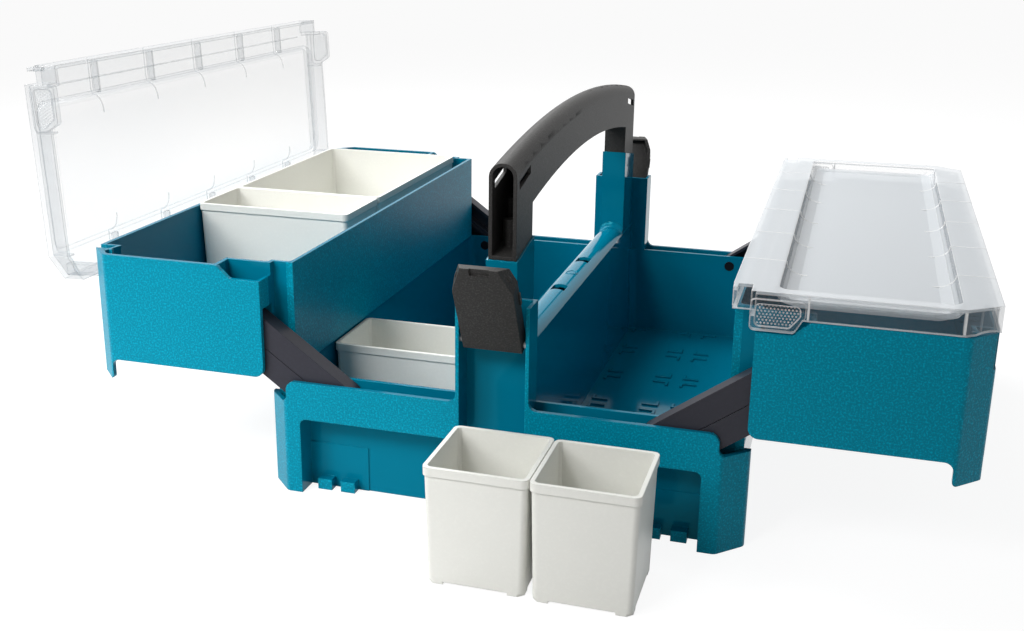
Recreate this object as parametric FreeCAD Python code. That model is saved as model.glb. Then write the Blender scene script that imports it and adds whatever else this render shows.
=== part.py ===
"""Folding tool case: a base tub with two trays that swing out on parallel arms.

Millimetres. X runs across the case, the trays swing out along it, Y runs from the
front (-Y) to the back, and Z is up. The origin is the middle of the base underside.
The case is drawn as it stands in use: both trays out, left lid open, right lid shut.
"""
import FreeCAD
import Part
import os
from math import cos, hypot, radians, sin, sqrt, tan

Vector = FreeCAD.Vector

# Folded outline and walls
case_width = 296.0
case_depth = 396.0
corner_crop = 15.0
crop_round = 5.0
base_height = 73.5
skin = 3.0
wall = 2.5
fold_gap = 0.3
side_gap = 2.0
arm_pocket = 12.5
bay_corner = 6.0
side_recess = 9.5
rim_overhang = 5.5
rim_height = 12.0

# Arms and their pivots
arm_length = 74.3
arm_width = 15.0
arm_wall = 2.2
arm_web = 2.5
arm_side_gap = 0.5
arm_swing = 54.5
arm_spacing = 26.5
arm_inset = 26.5
pivot_drop = 8.5
pivot_diameter = 8.0
pivot_boss = 12.0
pin_clearance = 0.05
pin_blind = 2.0
pocket_room = 5.5
roof_room = 1.8

# Base feet, end recesses and coupling lugs
foot_width = 25.0
recess_depth = 15.0
recess_radius = 4.0
notch_width = 16.2
notch_radius = 4.0
notch_shoulder = 6.0
rail_fillet = 5.0
coupler_width = 9.4
coupler_height = 7.0
coupler_depth = 7.0
coupler_gap = 6.0
coupler_inset = 7.0
pad_width = 39.0
pad_height = 29.0
pad_proud = 0.6

# Centre divider and posts
divider_foot = 24.6
divider_top = 20.0
divider_height = 100.6
divider_crown = 5.0
divider_web_height = 40.0
slot_length = 12.0
slot_width = 10.0
slot_spacing = 75.0
post_width = 44.4
rail = 2.2
rail_radius = 1.5
rail_room = 1.1
column_width = 19.0
column_length = 37.0
seat_height = 156.5
seat_rise = 7.0

# Handle
handle_width = 16.8
handle_ledge = 1.0
handle_wall = 2.2
handle_crest = 70.9
handle_shoulder = 56.6
handle_under = 40.1
handle_heel = 27.6
handle_round = 8.0
handle_window_length = 24.0
handle_window_height = 5.0
handle_window_inset = 5.0
handle_window_drop = 10.8
handle_window_rise = 5.4
screw_diameter = 4.0
screw_length = 16.0
screw_head = 8.0
screw_head_height = 2.6
screw_boss = 9.0
screw_boss_height = 14.0

# Trays
tray_height = 69.4
tray_leg = 13.7
leg_gap = 0.5
leg_fillet = 5.0
leg_tip_radius = 3.0
tray_skin_round = 6.0
end_gap = 3.2
centre_gap = 3.0
jog_gap = 2.0
notch_length = 28.6
notch_run = 8.5
notch_round = 3.8

# Lids
lid_wall = 2.2
lid_crop_x = 18.0
lid_crop_y = 13.0
lid_sink = 8.0
lid_inner_border = 24.0
lid_outer_border = 20.0
lid_end_border = 8.0
lid_slope = 9.0
lid_end_slope = 4.0
lid_slope_steps = 4
lid_corner = 6.0
lid_rib = 1.2
lid_rib_height = 5.0
lid_rib_pitch = 66.0
lid_rib_count = 5
lid_open_lean = 2.5
lid_edge_gap = 0.4
tab_drop = 6.9
tab_length = 28.7
tab_skew = 5.2
tab_frame = 2.6
tab_proud = 1.5
tab_top_drop = 4.0
tab_room = 1.3
hook_back = 12.0
hook_inset = 0.5
hook_width = 2.3
hook_reach = 7.5
hook_thickness = 2.5
hook_height = 10.5
hinge_inset = 6.3
hinge_drop = 15.9
hinge_pin = 4.0
hinge_pin_bite = 1.2
hinge_lug = 7.0
hinge_lug_width = 6.5
hinge_lug_past = 1.0
hinge_side_gap = 0.5
hinge_bracket = 1.9
hinge_pocket = 8.0
hinge_pocket_skew = 4.0

# Latches
latch_angle = 26.9
latch_pin_drop = 23.5
latch_pin_depth = 5.0
latch_height = 62.5
latch_below = 2.3
latch_face_width = 35.3
latch_back_width = 36.6
latch_top_width = 21.2
latch_shoulder = 17.5
latch_back_shoulder = 9.0
latch_back_drop = 5.0
latch_depth = 8.5
latch_wall = 2.2
latch_barrel = 7.2
latch_pin = 4.0
latch_pin_bite = 1.2
latch_notch_width = 11.4
latch_notch_height = 5.0
latch_notch_depth = 1.2
latch_rib_proud = 0.8
latch_rib_height = 8.0
latch_rib_drop = 22.0

# Bins
bin_cell = 59.0
bin_gap = 0.5
bin_headroom = 2.0
bin_wall = 1.6
bin_taper = 1.4
bin_rim = 0.8
bin_rim_height = 5.0
bin_corner = 4.0
bin_inner_crop = 1.6
bin_foot = 1.5
bin_foot_size = 9.0
bin_lid_gap = 2.5
bay_bin_shift = 4.0
bay_bin_y = -120.0
bin_split_y = -2.0
long_bin_rows = 3
loose_bin_gap = 21.5
loose_bin_x = -14.4
loose_bin_stagger = 1.3

# Worked out from the sizes above
over = 1.0
tiny = 0.01
right_angle = 90.0
half_w = case_width / 2
half_d = case_depth / 2
inner_x = half_w - skin
inner_y = half_d - skin
end_out = inner_y - arm_pocket
end_in = end_out - wall
bay_length = 2 * end_in
side_wall_x = half_w - side_recess
bay_side = side_wall_x - skin
post_half = post_width / 2
channel_half = post_half - rail
column_half = column_width / 2
pivot_z = base_height - pivot_drop
pocket_floor = pivot_z - arm_width / 2 - pocket_room
recess_height = pocket_floor - wall
outer_pivot_x = half_w - arm_inset
inner_pivot_x = outer_pivot_x - arm_spacing
reach = arm_length * sin(radians(arm_swing))
travel = 2 * reach
arm_rise = arm_length * cos(radians(arm_swing))
tray_pivot_z = pivot_z + arm_rise
tray_bottom = base_height + fold_gap
tray_floor = tray_bottom + wall
tray_top = tray_bottom + tray_height
shelf_under = tray_pivot_z + arm_width / 2 + roof_room
shelf_top = shelf_under + wall
bin_height = base_height - wall - bin_headroom
bin_size = bin_cell - bin_gap
lid_bottom = tray_top + fold_gap
panel_under = max(tray_floor + bin_height, tray_top) + bin_lid_gap
panel_top = panel_under + lid_wall
lid_top = panel_top + lid_sink
tab_bottom = lid_bottom - tab_drop
tray_notch_z = tab_bottom - tab_room
post_height = tab_bottom - rail_room
lid_in = column_half + side_gap
tray_in = column_half + centre_gap
jog_out = end_in - jog_gap
skin_end = post_half + end_gap
cross_wall = skin_end + notch_length
lid_step = channel_half + side_gap
base_notch_z = tray_bottom - tray_leg - fold_gap
hinge_x = half_w - hinge_inset
hinge_z = lid_bottom - hinge_drop
lug_out = half_d - corner_crop + hinge_lug_past
lug_in = lug_out - hinge_lug_width
ear_out = lug_in - hinge_side_gap
web_in = lug_out + hinge_side_gap
latch_pin_end = channel_half + latch_pin_bite
latch_pin_z = post_height - latch_pin_drop
latch_pin_y = half_d - latch_pin_depth
seat_inner_height = seat_height + seat_rise


def corner_edges(corners, place):
    """Edges round a polygon of (a, b) or (a, b, radius) corners, put in space by place."""
    flat = [Vector(c[0], c[1], 0) for c in corners]
    radii = [c[2] if len(c) > 2 else 0.0 for c in corners]
    count = len(flat)
    stops = []
    for i in range(count):
        here = flat[i]
        back = (flat[i - 1] - here).normalize()
        ahead = (flat[(i + 1) % count] - here).normalize()
        if radii[i] == 0:
            stops.append((here, None, here))
            continue
        half_turn = back.getAngle(ahead) / 2
        cut = radii[i] / tan(half_turn)
        middle = (back + ahead).normalize()
        arc_point = here + middle * (radii[i] / sin(half_turn) - radii[i])
        stops.append((here + back * cut, arc_point, here + ahead * cut))
    edges = []
    for i in range(count):
        start, arc_point, end = stops[i]
        following = stops[(i + 1) % count][0]
        if arc_point is not None:
            edges.append(Part.Arc(place(start), place(arc_point), place(end)).toShape())
        if (following - end).Length > tiny:
            edges.append(Part.LineSegment(place(end), place(following)).toShape())
    return edges


def wire_xy(corners, z):
    return Part.Wire(corner_edges(corners, lambda p: Vector(p.x, p.y, z)))


def wire_xz(corners, y):
    return Part.Wire(corner_edges(corners, lambda p: Vector(p.x, y, p.y)))


def prism_xy(corners, z0, z1):
    return Part.Face(wire_xy(corners, z0)).extrude(Vector(0, 0, z1 - z0))


def prism_xz(corners, y0, y1):
    return Part.Face(wire_xz(corners, y0)).extrude(Vector(0, y1 - y0, 0))


def prism_yz(corners, x0, x1):
    wire = Part.Wire(corner_edges(corners, lambda p: Vector(x0, p.x, p.y)))
    return Part.Face(wire).extrude(Vector(x1 - x0, 0, 0))


def box(x0, x1, y0, y1, z0, z1):
    return Part.makeBox(x1 - x0, y1 - y0, z1 - z0, Vector(x0, y0, z0))


def rectangle(x0, x1, y0, y1, radius=0.0):
    return [(x0, y0, radius), (x1, y0, radius), (x1, y1, radius), (x0, y1, radius)]


def rod_y(x, z, radius, y0, y1):
    return Part.makeCylinder(radius, y1 - y0, Vector(x, y0, z), Vector(0, 1, 0))


def rod_x(y, z, radius, x0, x1):
    return Part.makeCylinder(radius, x1 - x0, Vector(x0, y, z), Vector(1, 0, 0))


def rod_z(x, y, radius, z0, z1):
    return Part.makeCylinder(radius, z1 - z0, Vector(x, y, z0), Vector(0, 0, 1))


def flip_x(shape):
    return shape.mirror(Vector(0, 0, 0), Vector(1, 0, 0))


def flip_y(shape):
    return shape.mirror(Vector(0, 0, 0), Vector(0, 1, 0))


def both_ends(shapes):
    return shapes + [flip_y(s) for s in shapes]


def four_corners(shapes):
    pair = both_ends(shapes)
    return pair + [flip_x(s) for s in pair]


def moved(shape, x=0.0, y=0.0, z=0.0):
    return shape.translated(Vector(x, y, z))


def turned(shape, point, axis, angle):
    copy = shape.copy()
    copy.rotate(point, axis, angle)
    return copy


def crop_legs(along, across, inset):
    """Legs of a cropped corner once its outline is drawn in by inset."""
    slant = hypot(along, across)
    first = along - inset + inset * (slant - along) / across
    second = across - inset + inset * (slant - across) / along
    return first, second


def case_outline(inset):
    """Plan of the case with its cropped corners, drawn in by inset."""
    leg = crop_legs(corner_crop, corner_crop, inset)[0]
    x = half_w - inset
    y = half_d - inset
    radius = crop_round - inset
    right_back = [(x, y - leg, radius), (x - leg, y, radius)]
    back = right_back + [(-a, b, r) for a, b, r in right_back[::-1]]
    return back + [(a, -b, r) for a, b, r in back[::-1]]


def inside_case(x0, y0, y1, z0, z1):
    """Block on the right, between two heights, that stops at the inner face of the skin."""
    return box(x0, inner_x, y0, y1, z0, z1).common(prism_xy(case_outline(skin), z0, z1))


def divider_half(z):
    """Half the divider's width at a height, with its draft."""
    shoulder = divider_height - divider_crown
    share = (z - wall) / (shoulder - wall)
    return (divider_foot + (divider_top - divider_foot) * share) / 2


def divider_solid(inset, z0, length):
    """Tapered wall with a crowned top, drawn in by inset on every side."""
    shoulder = divider_height - divider_crown - inset / 2
    crest = divider_height - inset
    low = divider_half(z0) - inset
    high = divider_half(shoulder) - inset
    points = [Vector(-low, 0, z0), Vector(low, 0, z0), Vector(high, 0, shoulder), Vector(-high, 0, shoulder)]
    edges = [Part.LineSegment(points[i], points[i + 1]).toShape() for i in (0, 1)]
    edges.append(Part.Arc(points[2], Vector(0, 0, crest), points[3]).toShape())
    edges.append(Part.LineSegment(points[3], points[0]).toShape())
    face = Part.Face(Part.Wire(edges))
    face.translate(Vector(0, -length / 2, 0))
    return face.extrude(Vector(0, length, 0))


def bay_cutter():
    """The hollow of the right bay; its inner side follows the divider's draft."""
    top = base_height + over
    profile = [(divider_half(wall), wall), (bay_side, wall), (bay_side, top), (divider_half(top), top)]
    hollow = prism_xz(profile, -end_in, end_in)
    upright = [e for e in hollow.Edges if e.BoundBox.ZLength > bay_corner]
    return hollow.makeFillet(bay_corner, upright)


def end_pocket(z0, z1, x0):
    """Space between an end wall and the outer skin, back right, with the cropped corner."""
    return inside_case(x0, end_out, inner_y, z0, z1)


def corner_notch():
    """Cut at a base corner where the tray's leg comes down."""
    edge = half_w - notch_width
    far = half_w + over
    top = base_height + over
    corners = [
        (far, base_notch_z),
        (edge, base_notch_z, notch_radius),
        (edge, base_height, notch_shoulder),
        (edge - 2 * notch_shoulder, base_height),
        (edge - 2 * notch_shoulder, top),
        (far, top),
    ]
    return prism_xz(corners, half_d - notch_width, half_d + over)


def side_hollows():
    """Recess of the right side between its feet, below a rim with a turned-down lip."""
    rim_x = side_wall_x + rim_overhang
    far = half_w + over
    foot = end_out - skin
    notch = half_d - notch_width + over
    under_rim = base_height - skin
    recess = box(side_wall_x, far, -foot, foot, -over, under_rim)
    lip = box(rim_x - skin, rim_x, -foot, foot, base_height - rim_height, under_rim)
    beyond_rim = box(rim_x, far, -notch, notch, base_notch_z, base_height + over)
    return [recess.cut(lip), beyond_rim]


def end_recess():
    """Low recess between the feet at the back."""
    side = half_w - foot_width
    corners = [
        (-side, -over),
        (side, -over),
        (side, recess_height, recess_radius),
        (-side, recess_height, recess_radius),
    ]
    return prism_xz(corners, half_d - recess_depth, half_d + over)


def coupling_lugs():
    """Two small blocks and a thin raised pad beside the back right foot."""
    back = half_d - recess_depth - over
    edge = half_w - foot_width
    lugs = []
    for i in range(2):
        x1 = edge - coupler_inset - i * (coupler_width + coupler_gap)
        y1 = half_d - recess_depth + coupler_depth
        lugs.append(box(x1 - coupler_width, x1, back, y1, 0, coupler_height))
    lugs.append(box(edge - pad_width, edge + over, back, half_d - recess_depth + pad_proud, 0, pad_height))
    return lugs


def post_walls():
    """Rails and back wall of the back post, above the tub's rim."""
    low = base_height - over
    profile = [(end_out, low), (half_d, low), (half_d, post_height, rail_radius), (end_out, post_height)]
    right = prism_yz(profile, channel_half, post_half)
    side = post_half + 2 * rail_fillet
    top = base_height + 2 * rail_fillet
    corners = [
        (channel_half, low),
        (side, low),
        (side, base_height),
        (post_half, base_height, rail_fillet),
        (post_half, top),
        (channel_half, top),
    ]
    flare = prism_xz(corners, inner_y, half_d)
    back = box(-post_half, post_half, end_in, end_out, low, post_height)
    return [right, flip_x(right), flare, flip_x(flare), back]


def seat_at(y):
    """Height of the handle's sloping seat at a distance from the middle."""
    return seat_height + (end_in - y) * seat_rise / column_length


def column(inset, low):
    """Handle column of the back post, drawn in by inset, with its sloping seat."""
    y0 = end_in - column_length + inset
    y1 = end_in - inset
    corners = [(y0, low), (y1, low), (y1, seat_at(y1) - inset), (y0, seat_at(y0) - inset)]
    return prism_yz(corners, inset - column_half, column_half - inset)


def pivot_spots(x_shift=0.0):
    return [outer_pivot_x + x_shift, inner_pivot_x + x_shift]


def pivot_holes(x_shift, z):
    """Holes at the back right for the pins: through the end wall, blind in the skin."""
    radius = pivot_diameter / 2 + pin_clearance
    return [rod_y(x, z, radius, end_in - over, inner_y + pin_blind) for x in pivot_spots(x_shift)]


def screw_y():
    return end_in - column_length / 2


def base_tub():
    block = prism_xy(case_outline(0.0), 0, base_height)
    bay = bay_cutter()
    foot_hollow_x = half_w - foot_width + skin
    top = base_height + over
    sides = side_hollows()
    hollows = [bay, flip_x(bay)] + sides + [flip_x(s) for s in sides]
    hollows += four_corners([
        end_pocket(pocket_floor, top, post_half),
        end_pocket(wall, pocket_floor + over, foot_hollow_x),
        corner_notch(),
    ])
    channel = box(-channel_half, channel_half, end_out, half_d + over, recess_height - over, top)
    hollows += both_ends([end_recess(), channel])
    tub = block.cut(hollows)

    divider = divider_solid(0.0, base_height - over, bay_length)
    column_low = divider_height - 2 * divider_crown
    ends = both_ends(post_walls() + [column(0.0, column_low)])
    tub = tub.fuse([divider] + ends + four_corners(coupling_lugs()))

    inside = [divider_solid(wall, -over, bay_length - 2 * wall)]
    inside += both_ends([column(wall, column_low - over)])
    slot_y = (slot_spacing - slot_length) / 2
    slot_half = slot_width / 2
    slot = box(-slot_half, slot_half, slot_y, slot_y + slot_length, column_low, divider_height + over)
    inside += both_ends([slot])
    inside += four_corners(pivot_holes(0.0, pivot_z))
    latch_hole = latch_pin / 2 + pin_clearance
    latch_hole_end = latch_pin_end + pin_clearance
    inside += both_ends([rod_x(latch_pin_y, latch_pin_z, latch_hole, -latch_hole_end, latch_hole_end)])
    screw_hole = screw_diameter / 2 + pin_clearance
    inside += both_ends([rod_z(0, screw_y(), screw_hole, seat_height - 2 * wall, seat_inner_height + over)])
    return tub.cut(inside).fuse(divider_web()).removeSplitter()


def divider_web():
    """Cross rib in the hollow divider, flush with the base underside."""
    half = divider_half(divider_web_height) - wall / 2
    return box(-half, half, -wall / 2, wall / 2, 0, divider_web_height)


def handle_profile(inset, past_ends):
    """Side outline of the handle, drawn in by inset; past_ends lengthens it outwards."""
    end = end_in - handle_ledge + past_ends
    leg = end_in - column_length + handle_ledge + inset
    points = [
        (end, seat_at(end) + inset),
        (end, seat_height + handle_shoulder - inset),
        (-end, seat_height + handle_shoulder - inset),
        (-end, seat_at(end) + inset),
        (-leg, seat_at(leg) + inset),
        (-leg, seat_height + handle_heel + inset),
        (leg, seat_height + handle_heel + inset),
        (leg, seat_at(leg) + inset),
    ]
    arcs = {1: seat_height + handle_crest - inset, 5: seat_height + handle_under + inset}
    edges = []
    for i, (y, z) in enumerate(points):
        here = Vector(0, y, z)
        following = Vector(0, *points[(i + 1) % len(points)])
        if i in arcs:
            edges.append(Part.Arc(here, Vector(0, 0, arcs[i]), following).toShape())
        else:
            edges.append(Part.LineSegment(here, following).toShape())
    return Part.Face(Part.Wire(edges))


def rounded_bar(face, half, radius):
    """Extrude a side outline to both sides and round the two edges of its top arc."""
    bar = face.copy()
    bar.translate(Vector(-half, 0, 0))
    bar = bar.extrude(Vector(2 * half, 0, 0))
    crest = bar.BoundBox.ZMax
    top = [e for e in bar.Edges if crest - e.BoundBox.ZMax < tiny and e.BoundBox.XLength < tiny]
    return bar.makeFillet(radius, top)


def handle():
    half = handle_width / 2
    bar = rounded_bar(handle_profile(0.0, 0.0), half, handle_round)
    hollow = rounded_bar(handle_profile(handle_wall, over), half - handle_wall, handle_round - handle_wall)
    y1 = end_in - handle_ledge - handle_window_inset
    y0 = y1 - handle_window_length
    z1 = seat_height + handle_shoulder - handle_window_drop
    z0 = z1 - handle_window_height
    corners = [(y0, z0 + handle_window_rise), (y1, z0), (y1, z1), (y0, z1 + handle_window_rise)]
    window = prism_yz(corners, -half - over, half + over)
    bar = bar.cut([hollow] + both_ends([window]))
    boss_top = seat_inner_height + screw_boss_height
    boss = rod_z(0, screw_y(), screw_boss / 2, seat_height, boss_top)
    boss = boss.cut(column(0.0, seat_height - column_length))
    bar = bar.fuse(both_ends([boss]))
    hole = rod_z(0, screw_y(), screw_diameter / 2, seat_height - over, screw_tip() + over)
    return bar.cut(both_ends([hole])).removeSplitter()


def screw_tip():
    return screw_seat() + screw_length


def screw_seat():
    """Underside of the column's top wall at the lower edge of the screw head."""
    return seat_at(screw_y() + screw_head / 2) - wall


def handle_screws():
    """One pan-head screw under each handle leg, its head inside the column."""
    screws = []
    for y in (-screw_y(), screw_y()):
        head = rod_z(0, y, screw_head / 2, screw_seat() - screw_head_height, screw_seat())
        shank = rod_z(0, y, screw_diameter / 2, screw_seat() - over, screw_tip())
        screws.append(head.fuse(shank).removeSplitter())
    return Part.makeCompound(screws)


def arm_blank(inset):
    """Outline of an arm along +X, from its base pivot at the origin."""
    radius = arm_width / 2 - inset
    return rectangle(-radius, arm_length + radius, -radius, radius, radius)


def arm():
    """Channel-section arm at the back: web outside, hollow towards the bay, bored bosses."""
    y0 = end_out + arm_side_gap
    y1 = inner_y - arm_side_gap
    body = prism_xz(arm_blank(0.0), y0, y1)
    hollow = prism_xz(arm_blank(arm_wall), y0 - over, y1 - arm_web)
    body = body.cut(hollow)
    bosses = [rod_y(x, 0, pivot_boss / 2, y0, y1) for x in (0, arm_length)]
    bores = [rod_y(x, 0, pivot_diameter / 2 + pin_clearance, y0 - over, y1 + over) for x in (0, arm_length)]
    body = body.fuse(bosses).cut(bores).removeSplitter()
    lift = right_angle - arm_swing
    return turned(body, Vector(0, 0, 0), Vector(0, 1, 0), -lift)


def pivot_pins(x_shift, z):
    """The two pins at the back right, flush with the end wall, their tips in the skin."""
    y1 = inner_y + pin_blind - pin_clearance
    return [rod_y(x, z, pivot_diameter / 2, end_in, y1) for x in pivot_spots(x_shift)]


def tray_leg_corner():
    """Cropped corner of the back outer skin that reaches down past the tray's floor."""
    lx = half_w - notch_width + leg_gap
    ly = half_d - notch_width + leg_gap
    tip = tray_bottom - tray_leg
    top = tray_bottom + over
    start = lx - 2 * leg_fillet
    side = [
        (lx, tip, leg_tip_radius),
        (half_w + over, tip),
        (half_w + over, top),
        (start, top),
        (start, tray_bottom),
        (lx, tray_bottom, leg_fillet),
    ]
    ring = prism_xy(case_outline(0.0), tip, top).cut(prism_xy(case_outline(skin), tip - over, top + over))
    return ring.common(prism_xz(side, ly, half_d + over))


def tray_skin_notch():
    """Dip in the end skin where the lid's finger tab hangs, with an S-shaped shoulder."""
    low = skin_end - over
    foot = cross_wall - notch_run
    corners = [
        (low, tray_notch_z),
        (foot, tray_notch_z, notch_round),
        (cross_wall, tray_top, notch_round),
        (cross_wall + notch_run, tray_top),
        (cross_wall + notch_run, tray_top + over),
        (low, tray_top + over),
    ]
    return prism_xz(corners, end_out, half_d + over)


def tray_skin_round_off():
    """Rounds the lower inner corner of the end skin so that it clears the post's foot."""
    low = tray_bottom - over
    side = skin_end + 2 * tray_skin_round
    corners = [
        (skin_end - over, low),
        (side, low),
        (side, tray_bottom),
        (skin_end, tray_bottom, tray_skin_round),
        (skin_end, tray_bottom + 2 * tray_skin_round),
        (skin_end - over, tray_bottom + 2 * tray_skin_round),
    ]
    return prism_xz(corners, inner_y - over, half_d + over)


def hinge_brackets():
    """Corner pocket at the back outer corner of the tray that carries the lid's hinge pin."""
    x0 = hinge_x - hinge_pocket
    x1 = x0 + hinge_bracket
    low = shelf_top - over
    ear_in = ear_out - hinge_bracket
    far = inner_y + skin / 2
    ear = box(x0, inner_x + skin / 2, ear_in, ear_out, low, tray_top)
    web = box(x0, half_w, web_in, web_in + hinge_bracket, low, tray_top)
    skewed = [(x0, ear_in), (x1, ear_in), (x1 + hinge_pocket_skew, far), (x0 + hinge_pocket_skew, far)]
    return [ear, web, prism_xy(skewed, low, tray_top)]


def tray():
    """The right tray where it sits when folded in."""
    ends = box(skin_end, half_w, -half_d, half_d, tray_bottom - tray_leg, tray_top)
    outline = ends.common(prism_xy(case_outline(0.0), tray_bottom - tray_leg, tray_top))
    body = outline.common(box(skin_end, half_w, -half_d, half_d, tray_bottom, tray_top))
    spine = box(tray_in, skin_end + wall, -jog_out, jog_out, tray_bottom, tray_top)
    body = body.fuse([spine])
    top = tray_top + over
    inner_end = skin_end + wall
    jog_in = jog_out - wall
    hollows = [
        prism_xy(rectangle(tray_in + wall, inner_x, -jog_in, jog_in, bay_corner / 2), tray_floor, top),
        prism_xy(rectangle(inner_end, inner_x, -end_in, end_in, bay_corner / 2), tray_floor, top),
        inside_case(cross_wall + wall, -inner_y, inner_y, shelf_top, top),
    ]
    hollows += both_ends([
        end_pocket(tray_bottom - over, shelf_under, skin_end - over),
        box(inner_end, cross_wall, end_out, inner_y, shelf_top, top),
        tray_skin_notch(),
        tray_skin_round_off(),
    ])
    body = body.cut(hollows)
    body = body.fuse(both_ends(hinge_brackets() + [tray_leg_corner()]))
    slot_z = hinge_z - hinge_lug / 2 - over
    slot_x = hinge_x - hinge_lug / 2 - hinge_side_gap
    lug_slot = box(slot_x, half_w + over, ear_out, web_in, slot_z, top)
    bite = hinge_pin_bite + pin_clearance
    pin_hole = rod_y(hinge_x, hinge_z, hinge_pin / 2 + pin_clearance, ear_out - bite, web_in + bite)
    cuts = both_ends([lug_slot, pin_hole] + pivot_holes(-reach, tray_pivot_z))
    trimmed = body.common(outline.fuse([spine]))
    return trimmed.cut(cuts).removeSplitter()


def lid_outline(inset):
    """Plan of the right lid: cropped outer corners, stepped-back inner corners."""
    x0 = lid_in + inset
    x1 = half_w - inset
    step = lid_step + inset
    y1 = half_d - inset
    back = half_d - hook_back - inset
    crop_x, crop_y = crop_legs(lid_crop_x, lid_crop_y, inset)
    half = [(x0, back), (step, back), (step, y1), (x1 - crop_x, y1), (x1, y1 - crop_y)]
    return half[::-1] + [(x, -y) for x, y in half]


def lid_recess(grow, z_top):
    """Sunken middle of the lid with hollow-curved sides, grown by grow on every side."""
    z_low = panel_top - grow
    sections = []
    for i in range(lid_slope_steps + 1):
        share = i / lid_slope_steps
        drawn = sqrt(1 - (1 - share) ** 2)
        x0 = lid_in + lid_inner_border + lid_slope * (1 - drawn) - grow
        x1 = half_w - lid_outer_border - lid_slope * (1 - drawn) + grow
        y1 = half_d - lid_end_border - lid_end_slope * (1 - drawn) + grow
        z = z_low + (z_top - z_low) * share
        sections.append(wire_xy(rectangle(x0, x1, -y1, y1, lid_corner), z))
    return Part.makeLoft(sections, True, True)


def lid_tab():
    """Finger tab at the back end, a framed plate that hangs into the tray's notch."""
    top = lid_top - tab_top_drop
    x0 = lid_step
    x1 = lid_step + tab_length
    y0 = half_d - lid_wall
    y1 = half_d + tab_proud
    frame = tab_frame

    def outline(inset):
        return [
            (x0 + inset, tab_bottom + inset, frame),
            (x1 - tab_skew - inset, tab_bottom + inset, frame),
            (x1 - inset, lid_bottom + frame),
            (x1 - inset, top - inset, frame),
            (x0 + inset, top - inset, frame),
        ]
    plate = prism_xz(outline(0.0), y0, y1)
    return plate.cut(prism_xz(outline(frame), y1 - tab_proud, y1 + over))


def lid_hook():
    """Catch at the back inner corner that the latch closes over."""
    x0 = lid_in + hook_inset
    x1 = x0 + hook_width
    y0 = half_d - hook_back - lid_wall
    y1 = half_d - hook_back + hook_reach
    tongue = box(x0, x1, y0, y1, lid_top - hook_thickness, lid_top)
    lip = box(x0, x1, y1 - hook_thickness, y1, lid_top - hook_height, lid_top)
    return tongue.fuse(lip)


def lid_lug():
    """Hinge lug at the back outer corner, from the lid's top down round the pin."""
    half = hinge_lug / 2
    web = box(hinge_x - half, hinge_x + half, lug_in, lug_out, hinge_z, lid_top - lid_wall / 2)
    return web.fuse(rod_y(hinge_x, hinge_z, half, lug_in, lug_out))


def lid_ribs():
    """Cross ribs under the long borders of the right lid."""
    ribs = []
    low = lid_top - lid_wall - lid_rib_height
    high = lid_top - lid_wall / 2
    inner = (lid_in + lid_wall / 2, lid_in + lid_inner_border - lid_wall / 2)
    outer = (half_w - lid_outer_border + lid_wall / 2, half_w - lid_wall / 2)
    for i in range(lid_rib_count):
        y = (i - (lid_rib_count - 1) / 2) * lid_rib_pitch
        for x0, x1 in (inner, outer):
            ribs.append(box(x0, x1, y - lid_rib / 2, y + lid_rib / 2, low, high))
    return ribs


def lid():
    """The right lid, shut, where it sits when the tray is folded in."""
    body = prism_xy(lid_outline(0.0), lid_bottom, lid_top)
    under = prism_xy(lid_outline(lid_wall), lid_bottom - over, lid_top - lid_wall)
    under = under.cut(lid_recess(lid_wall, lid_top))
    sweep = hypot(hinge_inset, tray_top - hinge_z) + lid_edge_gap
    turning_room = rod_y(hinge_x, hinge_z, sweep, -half_d - over, half_d + over)
    body = body.cut([under, lid_recess(0.0, lid_top + over), turning_room])
    body = body.fuse(lid_ribs() + both_ends([lid_tab(), lid_hook(), lid_lug()]))
    bore = rod_y(hinge_x, hinge_z, hinge_pin / 2 + pin_clearance, lug_in - over, lug_out + over)
    return body.cut(both_ends([bore])).removeSplitter()


def hinge_pins():
    """Plain pins at both ends of the right lid's hinge line, hidden in the tray's corner pockets."""
    pin = rod_y(hinge_x, hinge_z, hinge_pin / 2, ear_out - hinge_pin_bite, web_in + hinge_pin_bite)
    return Part.makeCompound(both_ends([pin]))


def flat_sided(first, last):
    """Solid between two outlines with as many corners, joined by flat sides."""
    faces = [Part.Face(Part.makePolygon(ring + ring[:1])) for ring in (first, last)]
    for i in range(len(first)):
        side = [first[i - 1], first[i], last[i], last[i - 1]]
        faces.append(Part.Face(Part.makePolygon(side + side[:1])))
    return Part.Solid(Part.Shell(faces))


def latch_shell(inset):
    """Tapered shell of the back latch, upright, drawn in by inset and open behind."""
    low = latch_pin_z - latch_below + inset
    high = latch_pin_z - latch_below + latch_height - inset
    slope = (latch_face_width - latch_top_width) / 2 / latch_shoulder

    def outline(width, shoulder, top, y):
        across, drop = crop_legs(shoulder * slope, shoulder, inset)
        half = width / 2 - inset
        right = [(half, low), (half, top - drop), (half - across, top)]
        return [Vector(x, y, z) for x, z in right + [(-x, z) for x, z in right[::-1]]]
    y_back = half_d - latch_depth - (over if inset else 0.0)
    face = outline(latch_face_width, latch_shoulder, high, half_d - inset)
    back = outline(latch_back_width, latch_back_shoulder, high - latch_back_drop, y_back)
    return flat_sided(face, back)


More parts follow.
